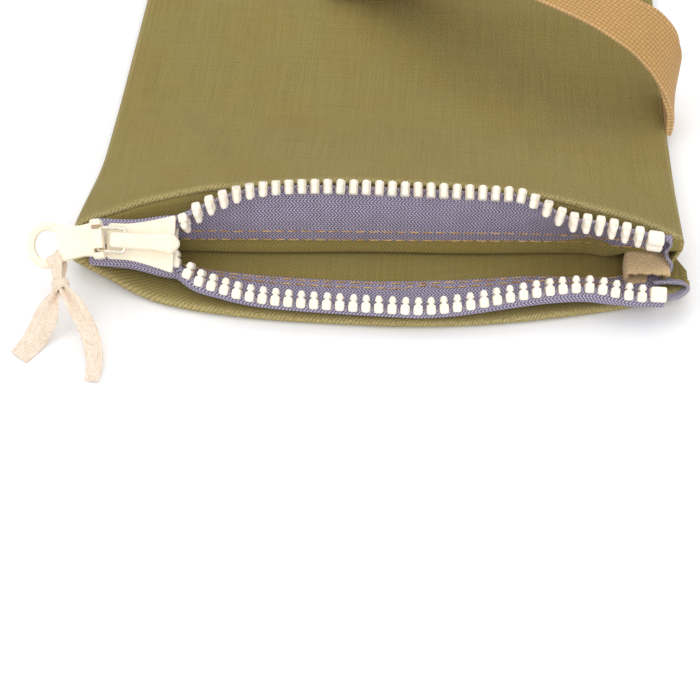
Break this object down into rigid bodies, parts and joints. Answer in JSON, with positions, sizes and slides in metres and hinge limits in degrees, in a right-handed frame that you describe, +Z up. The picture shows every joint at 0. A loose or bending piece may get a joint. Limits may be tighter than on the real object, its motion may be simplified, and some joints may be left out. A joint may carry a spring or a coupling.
{
  "type": "zip treat pouch",
  "caption": "Flat canvas treat pouch with a chunky moulded zip across its mouth, a pull tab tied with ribbon, and a webbing wrist loop in one side seam.",
  "frame": {"origin": "middle of the mouth line, on the flat underside of the back panel", "axes": "+X along the zip towards the strap side, +Y from the mouth to the closed end, +Z up out of the front panel"},
  "size_m": [0.2216, 0.2352, 0.0461],
  "materials": {
    "canvas": "olive cotton canvas, twill weave",
    "binding": "tan woven cotton tape",
    "thread": "tan sewing thread",
    "zip_tape": "slate purple herringbone zip tape",
    "teeth": "cream moulded plastic",
    "slider": "cream enamel",
    "spring_steel": "bare steel",
    "wire": "bright wire",
    "pull": "cream moulded plastic",
    "ribbon": "natural cotton ribbon",
    "webbing": "tan basket weave cotton webbing"
  },
  "bodies": {
    "pouch": {"back_panel": "canvas", "front_panel": "canvas", "left_seam_binding": "binding", "right_seam_binding": "binding", "end_seam_binding": "binding", "left_seam_thread": "thread", "right_seam_thread": "thread", "end_seam_thread": "thread", "bottom_stop": "teeth", "strap_bartack": "thread", "upper_stitch_edge": "thread", "upper_stitch_inner": "thread", "lower_stitch_edge": "thread", "lower_stitch_inner": "thread"},
    "upper_zip_side": {"upper_tape": "zip_tape", "upper_teeth": "teeth", "upper_top_stop": "teeth"},
    "lower_zip_side": {"lower_tape": "zip_tape", "lower_teeth": "teeth", "lower_top_stop": "teeth"},
    "slider": {"slider_body": "slider", "slider_cap": "slider"},
    "lock": {"lock_spring": "spring_steel"},
    "bail": {"bail": "wire"},
    "pull": {"pull_tab": "pull"},
    "ribbon": {"pull_ribbon": "ribbon"},
    "wrist_loop": {"wrist_strap": "webbing"}
  },
  "joints": [
    {"name": "slider_travel", "type": "slide", "parent": "pouch", "child": "slider", "axis": [1, 0, 0], "range_m": [0, 0.151]},
    {"name": "upper_side_closing", "type": "hinge", "parent": "pouch", "child": "upper_zip_side", "pos_m": [0, 0.0155, 0.0153], "axis": [1, 0, 0], "range_deg": [0, 88.5], "deforming": ["upper_tape", "upper_teeth", "upper_top_stop"]},
    {"name": "lower_side_closing", "type": "slide", "parent": "pouch", "child": "lower_zip_side", "axis": [0, 0.9312, 0.3644], "range_m": [0, 0.01483], "deforming": ["lower_tape", "lower_teeth", "lower_top_stop"]},
    {"name": "bail_lift", "type": "hinge", "parent": "slider", "child": "bail", "pos_m": [-0.082, -0.00471, 0.02079], "axis": [0, 0.7986, 0.6018], "range_deg": [0, 100]},
    {"name": "lock_release", "type": "hinge", "parent": "slider", "child": "lock", "pos_m": [-0.0701, -0.00366, 0.01939], "axis": [0, 0.7986, 0.6018], "range_deg": [0, 5]},
    {"name": "tab_swing", "type": "hinge", "parent": "bail", "child": "pull", "pos_m": [-0.0907, -0.00471, 0.02079], "axis": [-0.1736, 0.7865, 0.5927], "range_deg": [-15, 60]},
    {"name": "ribbon_swing", "type": "hinge", "parent": "pull", "child": "ribbon", "pos_m": [-0.10367, -0.01102, 0.01604], "axis": [0.7624, 0.5168, 0.3895], "range_deg": [-40, 40], "deforming": ["pull_ribbon"]},
    {"name": "strap_swing", "type": "hinge", "parent": "pouch", "child": "wrist_loop", "pos_m": [0.1, 0.086, 0.0026], "axis": [0, 1, 0], "range_deg": [0, 100], "deforming": ["wrist_strap"]}
  ],
  "couplings": [
    {"joint": "upper_side_closing", "follows": "slider_travel", "rad_per_m": 10.171},
    {"joint": "lower_side_closing", "follows": "slider_travel", "ratio": 0.098138},
    {"joint": "lock_release", "follows": "bail_lift", "ratio": 0.045}
  ]
}
